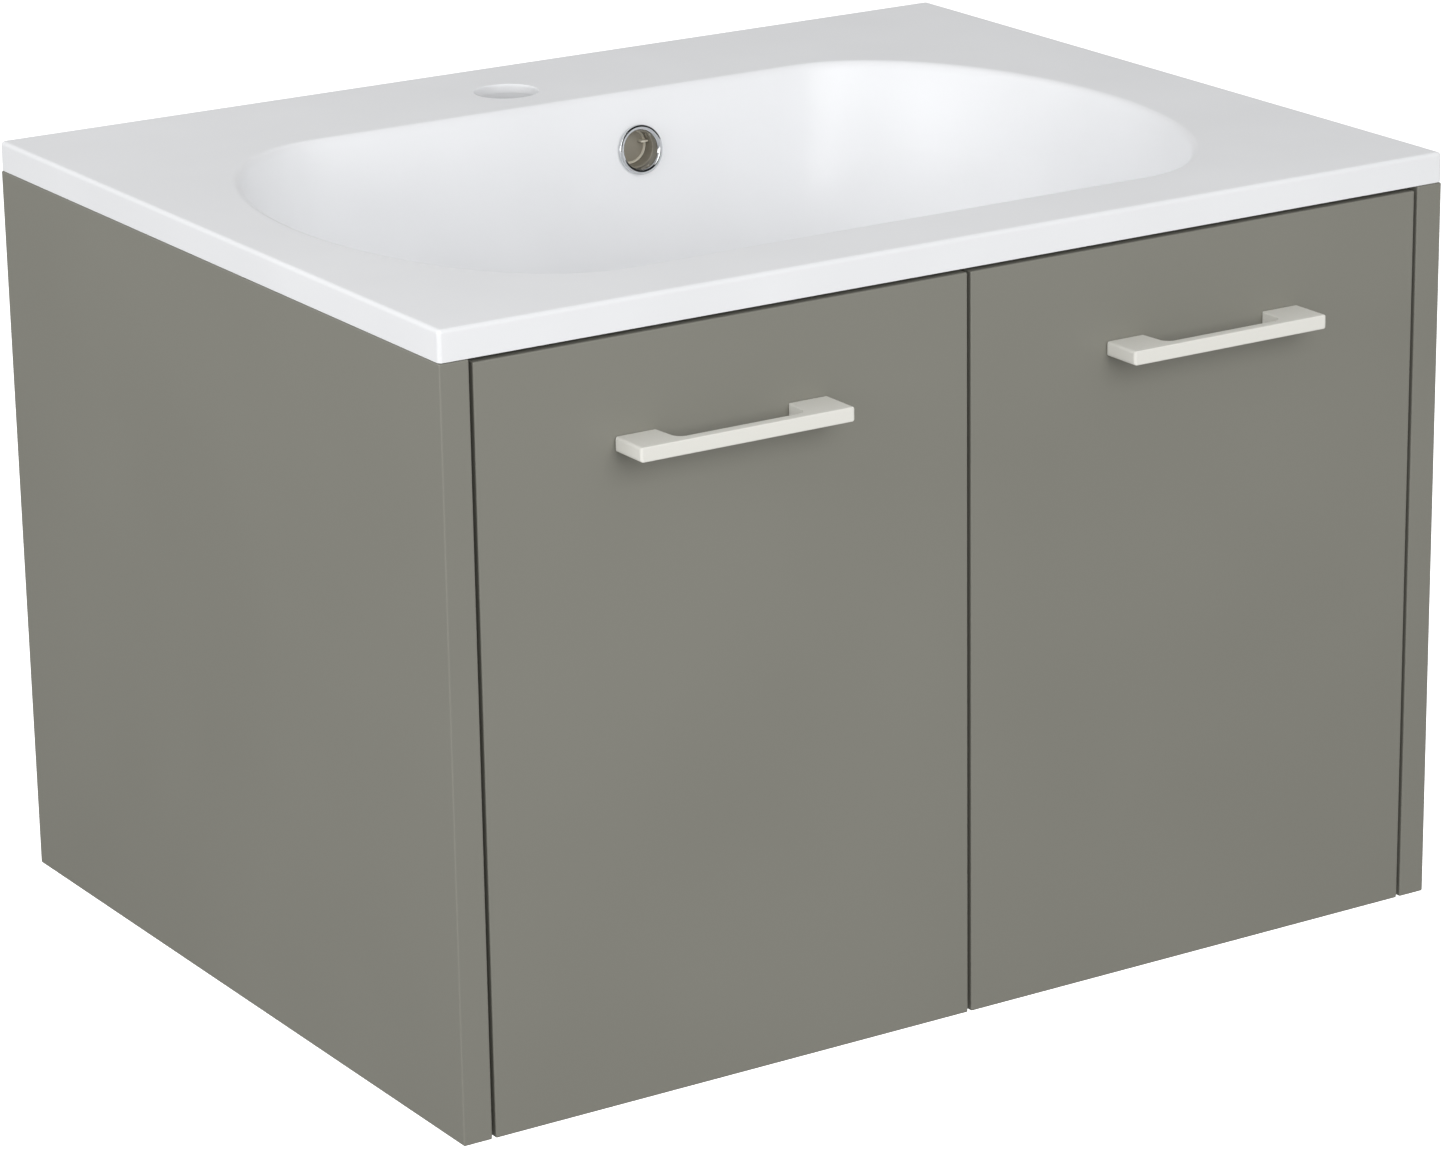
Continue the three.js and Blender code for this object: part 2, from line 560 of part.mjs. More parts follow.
/**
 * A cup hinge for an inset door. The cup carries the pin, a goose-neck link turns on the pin,
 * and its straight leg slides forwards out of the arm as the door swings, so the door's edge
 * stays clear of the side panel.
 */
function buildHinge(side, s, height, z) {
  const tag = `${side}_${height}`;
  const cupX = s * (DOOR_EDGE - CUP_SETBACK);
  const pinX = s * (DOOR_EDGE - PIN_SETBACK);
  const pinY = FRONT + PIN_BEHIND_FRONT;
  const legX = pinX - s * LINK_OFFSET;
  const legHalf = LINK_THICKNESS / 2;

  const cupOuter = CUP_RADIUS - 0.2;
  const cupInner = cupOuter - CUP_SHEET;
  const cupFloor = DOOR_REAR - CUP_DEPTH + 0.2;
  const flangeRear = DOOR_REAR + CUP_FLANGE.thickness;
  const flange = block(
    [cupX - CUP_FLANGE.width / 2, DOOR_REAR, z - CUP_FLANGE.height / 2],
    [cupX + CUP_FLANGE.width / 2, flangeRear, z + CUP_FLANGE.height / 2],
  );
  place(`hinge_cup_${tag}`, cut(
    join(lengthwise(cupOuter, cupX, z, cupFloor, flangeRear), flange),
    lengthwise(cupInner, cupX, z, cupFloor + 1.2, DOOR_REAR + 2),
  ), steel);

  const pinReach = CUP_SETBACK - PIN_SETBACK + PIN_RADIUS;
  const pinHalf = Math.sqrt(cupInner ** 2 - pinReach ** 2) - REST_GAP;
  place(`hinge_pin_${tag}`, upright(PIN_RADIUS, pinX, pinY, z - pinHalf, z + pinHalf, 16), steel);

  const half = LINK_HEIGHT / 2;
  place(`hinge_link_${tag}`, cut(
    join(
      upright(PIN_RADIUS + 1.5, pinX, pinY, z - half, z + half, 16),
      block([pinX, pinY - legHalf, z - half], [legX - s * legHalf, pinY + legHalf, z + half]),
      block([legX - legHalf, pinY - legHalf, z - half], [legX + legHalf, FRONT + LINK_TAIL, z + half]),
    ),
    upright(PIN_RADIUS + 0.25, pinX, pinY, z - half - 1, z + half + 1, 16),
  ), steel);

  const plateX = s * (INNER - PLATE.thickness);
  const sleeveHalf = legHalf + ARM.sleeveWall;
  const sleeve = block(
    [legX - sleeveHalf, FRONT + ARM_FRONT, z - ARM.height / 2],
    [legX + sleeveHalf, FRONT + ARM_BACK, z + ARM.height / 2],
  );
  const crank = block(
    [plateX - s * REST_GAP, FRONT + ARM_FRONT + ARM.crankFrom, z - ARM.crankHeight / 2],
    [legX, FRONT + ARM_BACK, z + ARM.crankHeight / 2],
  );
  const channel = block(
    [legX - legHalf - 1, FRONT + ARM_FRONT - 1, z - half - 0.5],
    [legX + legHalf + 1, FRONT + ARM_BACK + 1, z + half + 0.5],
  );
  place(`hinge_arm_${tag}`, cut(join(sleeve, crank), channel), steel);
  const plate = block(
    [s * INNER, FRONT + PLATE.front, z - PLATE.height / 2],
    [plateX, FRONT + PLATE.back, z + PLATE.height / 2],
  );
  place(`hinge_plate_${tag}`, plate, steel);
}

// ---- assembly -----------------------------------------------------------------------------

buildCarcass();
buildHangers();
buildWashbasin();
buildOverflow();
buildWaste();
for (const [side, s] of Object.entries(sides)) {
  buildDoor(side, s);
  buildHandle(side, s);
  buildBumper(side, s);
  for (const [height, z] of Object.entries(HINGE_HEIGHTS)) buildHinge(side, s, height, z);
}
assembly.position.z = -RAIL_CENTRE;

const group = new THREE.Group();
group.add(assembly);

export default group;
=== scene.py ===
"""A wall-hung bathroom vanity cabinet: lacquered boards, a mineral-cast washbasin, two doors."""

import math

import bmesh
import bpy
from mathutils import Euler, Matrix, Vector


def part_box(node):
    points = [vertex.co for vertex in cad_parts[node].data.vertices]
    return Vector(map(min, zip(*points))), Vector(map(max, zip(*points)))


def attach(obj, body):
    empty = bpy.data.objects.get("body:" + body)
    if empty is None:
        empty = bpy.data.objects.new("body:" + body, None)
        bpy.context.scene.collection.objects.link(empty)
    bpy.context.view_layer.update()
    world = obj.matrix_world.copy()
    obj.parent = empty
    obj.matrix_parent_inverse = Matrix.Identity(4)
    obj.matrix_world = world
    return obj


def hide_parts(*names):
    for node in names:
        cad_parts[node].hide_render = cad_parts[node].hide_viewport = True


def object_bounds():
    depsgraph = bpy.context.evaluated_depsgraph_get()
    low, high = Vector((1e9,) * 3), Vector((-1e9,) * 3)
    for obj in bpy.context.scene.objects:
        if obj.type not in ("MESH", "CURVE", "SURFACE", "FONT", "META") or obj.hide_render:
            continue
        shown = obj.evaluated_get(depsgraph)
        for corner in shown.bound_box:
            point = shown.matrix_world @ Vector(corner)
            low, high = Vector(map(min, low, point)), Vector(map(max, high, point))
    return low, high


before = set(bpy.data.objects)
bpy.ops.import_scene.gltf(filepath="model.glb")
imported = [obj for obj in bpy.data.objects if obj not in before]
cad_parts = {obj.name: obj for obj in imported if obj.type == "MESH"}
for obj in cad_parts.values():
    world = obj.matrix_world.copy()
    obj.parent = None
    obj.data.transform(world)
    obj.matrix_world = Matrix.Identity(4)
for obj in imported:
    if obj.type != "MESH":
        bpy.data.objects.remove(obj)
cad_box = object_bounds()

# ---- camera, floor and lights ---------------------------------------------------------------
# A long lens stands in front of the cabinet's left corner, a little above the basin's top.
# The cabinet hangs clear of a pale floor, under large soft lamps.

CAMERA_PLACE = (-1.4772, -2.5713, 0.7236)
CAMERA_TURN = math.radians(32.347)
CAMERA_DIP = math.radians(18.0)
CAMERA_ROLL = math.radians(-0.896)
CAMERA_LENS = 134.2
FLOOR_SIZE = 40
FLOOR_DROP = 0.45  # the usual height of such a cabinet's underside
LAMP_AIM = Vector((0, -0.25, -0.1))
SKY_STRENGTH = 0.55
UNLIT_STRENGTH = 0.02
DARK_SIDE = Vector((0.507, -0.856, 0.094))  # the studio's unlit side, seen in polished metal
DARK_EDGE = (0.3, 0.45)  # where the unlit side starts and is complete, as a facing's cosine
DULL_FLOOR = 0.2  # share of the sky's light that shiny faces see below the horizon
HORIZON = (-0.15, 0.05)  # the rise over which that share grows to the whole

camera_data = bpy.data.cameras.new("camera")
camera_data.lens = CAMERA_LENS
camera_data.sensor_width = 36
camera_data.clip_end = 100
camera = bpy.data.objects.new("camera", camera_data)
aim = Euler((math.pi / 2 - CAMERA_DIP, 0, -CAMERA_TURN)).to_matrix()
aim = aim @ Matrix.Rotation(CAMERA_ROLL, 3, "Z")
camera.location = CAMERA_PLACE
camera.rotation_euler = aim.to_euler()
bpy.context.scene.collection.objects.link(camera)
bpy.context.scene.camera = camera
bpy.context.scene.view_settings.view_transform = "Standard"


def linear(code):
    """An sRGB hex colour as the linear colour that a shader takes."""
    shares = [int(code[i : i + 2], 16) / 255 for i in (1, 3, 5)]
    curve = [s / 12.92 if s <= 0.04045 else ((s + 0.055) / 1.055) ** 2.4 for s in shares]
    return (*curve, 1.0)


def new_material(name, colour, roughness, metallic=0.0):
    """A material with its shader's plain values set, ready for its pattern."""
    material = bpy.data.materials.new(name)
    material.use_nodes = True
    shader = material.node_tree.nodes["Principled BSDF"]
    shader.inputs["Base Color"].default_value = linear(colour)
    shader.inputs["Roughness"].default_value = roughness
    shader.inputs["Metallic"].default_value = metallic
    return material, material.node_tree, shader


def add_node(tree, kind, inputs=None, **settings):
    """One shader node with its settings. An input is a value, or a socket to link from."""
    made = tree.nodes.new("ShaderNode" + kind)
    for name, value in settings.items():
        setattr(made, name, value)
    for name, value in (inputs or {}).items():
        if isinstance(value, bpy.types.NodeSocket):
            tree.links.new(value, made.inputs[name])
        else:
            made.inputs[name].default_value = value
    return made


def add_primitive(name, add, **how):
    """A primitive in its place, with nothing else selected."""
    bpy.ops.object.select_all(action="DESELECT")
    add(**how)
    piece = bpy.context.object
    piece.name = name
    bpy.ops.object.transform_apply(location=True, rotation=True, scale=True)
    return piece


floor = add_primitive(
    "floor",
    bpy.ops.mesh.primitive_plane_add,
    size=FLOOR_SIZE,
    location=(0, 0, cad_box[0][2] - FLOOR_DROP),
)
floor_paint, tree, shader = new_material("lit_white_floor", "#F4F4F4", roughness=0.9)
shader.inputs["Emission Color"].default_value = linear("#FFFFFF")
shader.inputs["Emission Strength"].default_value = 1.0
floor.data.materials.append(floor_paint)
floor.visible_diffuse = False  # it is lit white for the eye only, and casts no light upwards
floor.visible_glossy = False

world = bpy.data.worlds.new("studio")
bpy.context.scene.world = world
world.use_nodes = True
sky = world.node_tree
direction = add_node(sky, "TexCoord").outputs["Generated"]
facing = add_node(sky, "VectorMath", {0: direction, 1: DARK_SIDE}, operation="DOT_PRODUCT")
lit = add_node(
    sky, "MapRange",
    {"Value": facing.outputs["Value"], "From Min": DARK_EDGE[0], "From Max": DARK_EDGE[1],
     "To Min": SKY_STRENGTH, "To Max": UNLIT_STRENGTH},
)
height = add_node(sky, "SeparateXYZ", {"Vector": direction}).outputs["Z"]
dulled = add_node(
    sky, "MapRange",
    {"Value": height, "From Min": HORIZON[0], "From Max": HORIZON[1],
     "To Min": DULL_FLOOR, "To Max": 1.0},
)
mirrored = add_node(
    sky, "Math", {0: lit.outputs["Result"], 1: dulled.outputs["Result"]}, operation="MULTIPLY"
)
glossy = add_node(sky, "LightPath").outputs["Is Glossy Ray"]
strength = add_node(
    sky, "MapRange",
    {"Value": glossy, "To Min": SKY_STRENGTH, "To Max": mirrored.outputs["Value"]},
)
sky.nodes["Background"].inputs["Color"].default_value = (1, 1, 1, 1)
sky.links.new(strength.outputs["Result"], sky.nodes["Background"].inputs["Strength"])


def add_lamp(name, place, size, power):
    """A large square soft lamp that faces the cabinet."""
    lamp_data = bpy.data.lights.new(name, "AREA")
    lamp_data.shape = "SQUARE"
    lamp_data.size = size
    lamp_data.energy = power
    lamp = bpy.data.objects.new(name, lamp_data)
    lamp.location = place
    towards = LAMP_AIM - Vector(place)
    lamp.rotation_euler = towards.to_track_quat("-Z", "Y").to_euler()
    lamp.visible_camera = False
    bpy.context.scene.collection.objects.link(lamp)


add_lamp("left_lamp", (-1.9, -0.5, 0.38), size=0.8, power=11.5)
add_lamp("back_left_lamp", (-0.9, 0.6, 1.2), size=0.8, power=2.8)
add_lamp("front_lamp", (-0.3, -2.7, 0.9), size=1.6, power=30)

# ---- lacquered boards -----------------------------------------------------------------------
# Side panels, bottom panel and rails are 16 mm fibreboard, cut square. Their edges are eased by
# a little under a millimetre, and the whole is sprayed with a warm grey satin lacquer.

BOARD_EASE = 0.0008
JOINT = 0.0004  # a hair of shadow between the boards and the basin that rests on them
ORANGE_PEEL = 0.0022  # spacing of the sprayed lacquer's faint ripple
LACQUER_CLOUD = 0.16  # spacing of its faint change of tone
TONE_BAND = (0.35, 0.65)  # the part of a noise over which one tone turns into the other
TOUCH = 1e-5  # points nearer than this are in the same place


def add_ripple(tree, shader, spacing, height, stretch=(1, 1, 1)):
    """A fine noise bump on a shader, at a real spacing and height."""
    where = add_node(tree, "TexCoord").outputs["Object"]
    placed = add_node(tree, "Mapping", {"Vector": where, "Scale": stretch}).outputs["Vector"]
    noise = add_node(tree, "TexNoise", {"Vector": placed, "Scale": 1 / spacing, "Detail": 2.0})
    bump = add_node(tree, "Bump", {"Height": noise.outputs["Fac"], "Distance": height})
    tree.links.new(bump.outputs["Normal"], shader.inputs["Normal"])
    return noise


def add_tones(tree, shader, spacing, low, high):
    """A soft cloud between two close tones in a shader's colour."""
    where = add_node(tree, "TexCoord").outputs["Object"]
    cloud = add_node(tree, "TexNoise", {"Vector": where, "Scale": 1 / spacing, "Detail": 2.0})
    ramp = add_node(tree, "ValToRGB", {"Fac": cloud.outputs["Fac"]})
    for stop, position, tone in zip(ramp.color_ramp.elements, TONE_BAND, (low, high)):
        stop.position = position
        stop.color = linear(tone)
    tree.links.new(ramp.outputs["Color"], shader.inputs["Base Color"])


lacquer, tree, shader = new_material("satin_lacquer", "#88877E", roughness=0.42)
add_ripple(tree, shader, spacing=ORANGE_PEEL, height=0.00002)
add_tones(tree, shader, LACQUER_CLOUD, "#87867D", "#89887F")


def apply_modifier(piece, kind, **settings):
    """Adds a modifier to a piece and applies it at once."""
    bpy.ops.object.select_all(action="DESELECT")
    piece.select_set(True)
    bpy.context.view_layer.objects.active = piece
    modifier = piece.modifiers.new(kind.lower(), kind)
    for name, value in settings.items():
        setattr(modifier, name, value)
    bpy.ops.object.modifier_apply(modifier=modifier.name)


def edit(piece):
    """Opens a piece in edit mode with nothing in it selected."""
    bpy.ops.object.select_all(action="DESELECT")
    piece.select_set(True)
    bpy.context.view_layer.objects.active = piece
    bpy.ops.object.mode_set(mode="EDIT")
    bpy.ops.mesh.select_mode(type="EDGE")
    bpy.ops.mesh.select_all(action="DESELECT")


def smooth(piece, angle=math.radians(35)):
    """Smooth shading up to an angle, with the large flat faces kept flat."""
    bpy.ops.object.select_all(action="DESELECT")
    piece.select_set(True)
    bpy.context.view_layer.objects.active = piece
    bpy.ops.object.shade_smooth_by_angle(angle=angle)
    apply_modifier(piece, "WEIGHTED_NORMAL", keep_sharp=True, weight=100)


def settle(piece, material, body, slot, *nodes):
    """Gives a finished piece its finish, its body and the CAD nodes it stands for."""
    piece.data.materials.clear()
    piece.data.materials.append(material)
    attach(piece, body)
    if nodes:
        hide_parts(*nodes)


def bevelled_block(name, low, high, ease, segments=3):
    """A box between two corners, all its edges rounded."""
    middle = [(a + b) / 2 for a, b in zip(low, high)]
    size = [b - a for a, b in zip(low, high)]
    block = add_primitive(
        name, bpy.ops.mesh.primitive_cube_add, size=1, location=middle, scale=size
    )
    edit(block)
    bpy.ops.mesh.select_all(action="SELECT")
    bpy.ops.mesh.bevel(offset=ease, segments=segments, affect="EDGES")
    bpy.ops.object.mode_set(mode="OBJECT")
    return block


def add_board(node, body):
    """A board the size of its CAD node."""
    low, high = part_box(node)
    if high.z > slab_low.z - JOINT:
        high.z = slab_low.z - JOINT
    board = bevelled_block(node + "_board", low, high, BOARD_EASE)
    smooth(board)
    settle(board, lacquer, body, "lacquered_board", node)
    return board


def cut_away(piece, cutter):
    """Cuts one shape out of a piece and deletes the cutter."""
    apply_modifier(piece, "BOOLEAN", operation="DIFFERENCE", solver="MANIFOLD", object=cutter)
    bpy.data.objects.remove(cutter)


slab_low, slab_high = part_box("washbasin_top")
for node in ("side_panel_left", "side_panel_right", "bottom_panel", "front_rail", "back_rail_lower"):
    add_board(node, "cabinet")

# ---- hanging rail ---------------------------------------------------------------------------
# The upper back rail carries the cabinet's weight to the hangers. It is the same board, with
# its top corners sawn out where the hangers sit.

NOTCH_SIDE = 0.008  # room beside and below a hanger
NOTCH_FLOOR = 0.004
OVERCUT = 0.01  # how far a cutter runs past what it cuts

rail_low, rail_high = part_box("back_rail_upper")
hanging_rail = bevelled_block("hanging_rail_board", rail_low, rail_high, BOARD_EASE)
for side in ("left", "right"):
    low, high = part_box("hanger_housing_" + side)
    notch_low = Vector((low.x - NOTCH_SIDE, rail_low.y - OVERCUT, low.z - NOTCH_FLOOR))
    notch_high = Vector((high.x + NOTCH_SIDE, rail_high.y + OVERCUT, rail_high.z + OVERCUT))
    cutter = add_primitive(
        "notch",
        bpy.ops.mesh.primitive_cube_add,
        size=1,
        location=(notch_low + notch_high) / 2,
        scale=notch_high - notch_low,
    )
    cut_away(hanging_rail, cutter)
smooth(hanging_rail)
settle(hanging_rail, lacquer, "cabinet", "lacquered_board", "back_rail_upper")

# ---- washbasin ------------------------------------------------------------------------------
# Top and bowl are one casting of white mineral filler in resin, with a gel coat that shows as
# a soft, even sheen. Every ring of the mesh has its points on rays from the drain's centre.

RIM_HALF_LENGTH = 0.250
RIM_HALF_WIDTH = 0.162
RIM_STRAIGHT = 0.153  # half the rim's straight run
BOWL_WALL = 0.009
FLOOR_DEPTH = 0.115
# The bowl's wall is two curves. A point on it is a share of the rim's reach, and a depth.
FLOOR_EDGE = (0.62, 0.107)
FOOT_PULLS = ((0.82, 0.103), (0.9, 0.078))
WALL_FOOT = (0.94, 0.048)
WALL_PULLS = ((0.955, 0.036), (0.97, 0.016))
RIM = (1.0, 0.0)
FLOOR_FALL = 1.6  # power of the floor's fall to the drain: steeper at first, then flat
RIM_ROUND_FOOT = 0.0055  # depth at which the rim starts to round over
RIM_ROUND_SHARE = 1.014
TAP_PLACE = (-0.0215, -0.0585)
TAP_RADIUS = 0.0175
TAP_RIDGE = 0.00015  # a faint moulding ridge round the hole's wall
TAP_RIDGE_DEPTH = 0.0050
TAP_RIDGE_RISE = 0.0002
TAP_FLARE = 0.0009  # how far its mouth opens
OVERFLOW_HOLE = 0.0115
OVERFLOW_CUT = 0.06
EDGE_ROUND = 0.0022
COLUMNS = 224
ROUND_COLUMNS = 64  # for a small round shape

top = slab_high.z
waste_low, waste_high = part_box("waste_body")
drain = (waste_low + waste_high) / 2
FLANGE_GAP = 0.0003  # between the flange and its recess, and under the plug
FLANGE_RECESS = (waste_high.x - waste_low.x) / 2 + FLANGE_GAP
FLANGE_THICKNESS = 0.0025
DRAIN_RADIUS = 0.0216
BOSS_RADIUS = 0.040
BOSS_DEPTH = 0.127
BOSS_LIP = 0.001
UNDER_CORNER = (0.955, 0.040)  # the underside's curve as it meets the slab
UNDER_SLAB = 0.975

cast, tree, shader = new_material("white_mineral_cast", "#F0F1F3", roughness=0.42)
add_ripple(tree, shader, spacing=0.012, height=0.00001)
add_tones(tree, shader, 0.09, "#EFF0F2", "#F2F3F5")


def rim_reach(angle):
    """From the drain's centre to the rim: straight front and back, half-ellipse ends."""
    along, across = abs(math.cos(angle)), abs(math.sin(angle))
    if across > 0 and RIM_HALF_WIDTH / across * along <= RIM_STRAIGHT:
        return RIM_HALF_WIDTH / across
    end = RIM_HALF_LENGTH - RIM_STRAIGHT
    a = (along / end) ** 2 + (across / RIM_HALF_WIDTH) ** 2
    b = along * RIM_STRAIGHT / end**2
    c = (RIM_STRAIGHT / end) ** 2 - 1
    return (b + math.sqrt(b * b - a * c)) / a


def slab_reach(angle):
    """From the drain's centre to the slab's outline."""
    along, across = math.cos(angle), math.sin(angle)
    reaches = []
    if abs(along) > 1e-9:
        reaches.append(((slab_high.x if along > 0 else slab_low.x) - drain.x) / along)
    if abs(across) > 1e-9:
        reaches.append(((slab_high.y if across > 0 else slab_low.y) - drain.y) / across)
    return min(reaches)


def even_angles(reach, count):
    """Angles that space points evenly along an outline."""
    fine = [2 * math.pi * i / 4000 - math.pi for i in range(4001)]
    points = [Vector((reach(t) * math.cos(t), reach(t) * math.sin(t))) for t in fine]
    lengths = [0.0]
    for one, two in zip(points, points[1:]):
        lengths.append(lengths[-1] + (two - one).length)
    picked, at = [], 0
    for i in range(count):
        while lengths[at + 1] < lengths[-1] * i / count:
            at += 1
        picked.append(fine[at])
    return picked


def bezier(start, pull_start, pull_end, end, steps):
    """Points on a cubic curve, without its first."""
    points = []
    for i in range(1, steps + 1):
        t = i / steps
        weights = ((1 - t) ** 3, 3 * t * (1 - t) ** 2, 3 * t * t * (1 - t), t**3)
        four = (start, pull_start, pull_end, end)
        points.append(tuple(sum(w * p[k] for w, p in zip(weights, four)) for k in (0, 1)))
    return points


def place_ring(piece, centre, reach, height):
    """Moves the selected ring to a height and a reach along its own rays."""
    mesh = bmesh.from_edit_mesh(piece.data)
    for vertex in mesh.verts:
        if vertex.select:
            angle = math.atan2(vertex.co.y - centre[1], vertex.co.x - centre[0])
            radius = reach(angle) if callable(reach) else reach
            vertex.co.x = centre[0] + radius * math.cos(angle)
            vertex.co.y = centre[1] + radius * math.sin(angle)
            vertex.co.z = height
    bmesh.update_edit_mesh(piece.data)


def ringed(name, centre, rings, columns=48, angles=None, closed=False):
    """A shape drawn up ring by ring from a circle. Closed rings meet, open ones are filled."""
    count = len(angles) if angles else columns
    piece = add_primitive(
        name,
        bpy.ops.mesh.primitive_circle_add,
        vertices=count,
        radius=0.01,
        location=(centre[0], centre[1], 0),
    )
    if angles:
        around = sorted(
            piece.data.vertices,
            key=lambda v: math.atan2(v.co.y - centre[1], v.co.x - centre[0]),
        )
        for vertex, angle in zip(around, sorted(angles)):
            vertex.co.x = centre[0] + 0.01 * math.cos(angle)
            vertex.co.y = centre[1] + 0.01 * math.sin(angle)
    edit(piece)
    bpy.ops.mesh.select_all(action="SELECT")
    place_ring(piece, centre, *rings[0])
    for reach, height in rings[1:]:
        bpy.ops.mesh.extrude_region_move()
        place_ring(piece, centre, reach, height)
    if closed:
        bpy.ops.mesh.select_all(action="DESELECT")
        bpy.ops.mesh.select_non_manifold()
        bpy.ops.mesh.bridge_edge_loops()
    else:
        bpy.ops.mesh.select_all(action="SELECT")
        bpy.ops.mesh.fill_holes(sides=0)
    bpy.ops.mesh.select_all(action="SELECT")
    bpy.ops.mesh.normals_make_consistent(inside=False)
    if bmesh.from_edit_mesh(piece.data).calc_volume(signed=True) < 0:
        bpy.ops.mesh.flip_normals()
    bpy.ops.object.mode_set(mode="OBJECT")
    return piece


def share_of_rim(share, growth=0.0):
    """A reach that is a share of the rim's, or of the rim grown by the wall."""
    return lambda angle: share * (rim_reach(angle) + growth)


def floor_reach(mix):
    """A reach between the floor's edge and the round drain recess."""
    return lambda angle: (1 - mix) * FLOOR_EDGE[0] * rim_reach(angle) + mix * FLANGE_RECESS


lower_wall = [FLOOR_EDGE] + bezier(FLOOR_EDGE, *FOOT_PULLS, WALL_FOOT, steps=12)
sharp_wall = bezier(WALL_FOOT, *WALL_PULLS, RIM, steps=16)
upper_wall = [point for point in sharp_wall if point[1] > RIM_ROUND_FOOT]
rim_foot = upper_wall[-1]
rim_round = bezier(
    rim_foot,
    (rim_foot[0] + 0.005, 0.0018),
    (rim_foot[0] + 0.012, 0.0),
    (RIM_ROUND_SHARE, 0.0),
    steps=8,
)

inside = lower_wall + upper_wall + rim_round
inner_rings = [(share_of_rim(share), top - depth) for share, depth in reversed(inside)]
for mix in (0.12, 0.3, 0.5, 0.7, 0.85, 0.95, 1.0):
    dip = FLOOR_EDGE[1] + (FLOOR_DEPTH - FLOOR_EDGE[1]) * (1 - (1 - mix) ** FLOOR_FALL)
    inner_rings.append((floor_reach(mix), top - dip))
drain_rings = [
    (FLANGE_RECESS, top - FLOOR_DEPTH - FLANGE_THICKNESS),
    (DRAIN_RADIUS, top - FLOOR_DEPTH - FLANGE_THICKNESS),
    (DRAIN_RADIUS, top - BOSS_DEPTH),
    (BOSS_RADIUS, top - BOSS_DEPTH),
    (BOSS_RADIUS, top - FLOOR_DEPTH - BOWL_WALL - BOSS_LIP),
]
outer_rings = [
    (share_of_rim(share, BOWL_WALL), top - depth - BOWL_WALL)
    for share, depth in lower_wall + [WALL_FOOT]
    if top - depth - BOWL_WALL < slab_low.z
][:-1]
outer_rings.append((share_of_rim(UNDER_CORNER[0], BOWL_WALL), top - UNDER_CORNER[1]))
outer_rings.append((share_of_rim(UNDER_SLAB, BOWL_WALL), slab_low.z))
slab_rings = [(slab_reach, slab_low.z), (slab_reach, top)]

column_angles = even_angles(rim_reach, COLUMNS)
for x in (slab_low.x, slab_high.x):
    for y in (slab_low.y, slab_high.y):
        corner = math.atan2(y - drain.y, x - drain.x)
        nearest = min(range(COLUMNS), key=lambda i: abs(column_angles[i] - corner))
        column_angles[nearest] = corner
basin = ringed(
    "washbasin_casting",
    (drain.x, drain.y),
    inner_rings + drain_rings + outer_rings + slab_rings,
    angles=column_angles,
    closed=True,
)


def select_edges(piece, passes):
    """In edit mode, selects each edge whose ends pass a test together."""
    mesh = bmesh.from_edit_mesh(piece.data)
    for edge in mesh.edges:
        edge.select_set(passes(edge.verts[0].co, edge.verts[1].co))
    bmesh.update_edit_mesh(piece.data)


def sides_met(point):
    """How many of the slab's four sides a point is on: one, or two at a corner."""
    gaps = [abs(point[i] - side[i]) for i in (0, 1) for side in (slab_low, slab_high)]
    return sum(gap < TOUCH for gap in gaps)


edit(basin)
select_edges(basin, lambda a, b: (
    min(sides_met(a), sides_met(b)) == 2
    or (min(sides_met(a), sides_met(b)) == 1 and min(a.z, b.z) > top - TOUCH)
))
bpy.ops.mesh.bevel(offset=EDGE_ROUND, segments=5, affect="EDGES")
bpy.ops.object.mode_set(mode="OBJECT")

cutter = ringed("tap_cutter", TAP_PLACE, [
    (TAP_RADIUS, slab_low.z - OVERCUT),
    (TAP_RADIUS, top - TAP_RIDGE_DEPTH - TAP_RIDGE_RISE),
    (TAP_RADIUS - TAP_RIDGE, top - TAP_RIDGE_DEPTH),
    (TAP_RADIUS, top - 0.0010),
    (TAP_RADIUS + 0.0003, top - 0.0003),
    (TAP_RADIUS + TAP_FLARE, top + 0.0002),
    (TAP_RADIUS + TAP_FLARE, top + OVERCUT),
], columns=ROUND_COLUMNS)
cut_away(basin, cutter)
ring_low, ring_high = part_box("overflow_ring")
overflow_middle = (ring_low + ring_high) / 2
cutter = add_primitive(
    "overflow_cutter",
    bpy.ops.mesh.primitive_cylinder_add,
    vertices=ROUND_COLUMNS,
    radius=OVERFLOW_HOLE,
    depth=OVERFLOW_CUT,
    location=overflow_middle,
    rotation=(math.pi / 2, 0, 0),
)
cut_away(basin, cutter)
smooth(basin, math.radians(30))
settle(basin, cast, "cabinet", "mineral_cast", "washbasin_top", "washbasin_bowl")

# ---- doors ----------------------------------------------------------------------------------
# The doors are the same lacquered board, set in flush between the side panels. Each is bored
# behind for two hinge cups, and two screws from behind hold its handle.

CUP_RADIUS = 0.0175
CUP_DEPTH = 0.012
CUP_CUTTER = 0.03

for side in ("left", "right"):
    low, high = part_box("door_" + side)
    door = bevelled_block(f"door_{side}_board", low, high, BOARD_EASE)
    for height in ("lower", "upper"):
        cup_low, cup_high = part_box(f"hinge_cup_{side}_{height}")
        cup = (cup_low + cup_high) / 2
        cutter = add_primitive(
            "cup_cutter",
            bpy.ops.mesh.primitive_cylinder_add,
            vertices=ROUND_COLUMNS,
            radius=CUP_RADIUS,
            depth=CUP_CUTTER,
            location=(cup.x, high.y - CUP_DEPTH + CUP_CUTTER / 2, cup.z),
            rotation=(math.pi / 2, 0, 0),
        )
        cut_away(door, cutter)
    smooth(door)
    settle(door, lacquer, "door_" + side, "lacquered_board", "door_" + side)

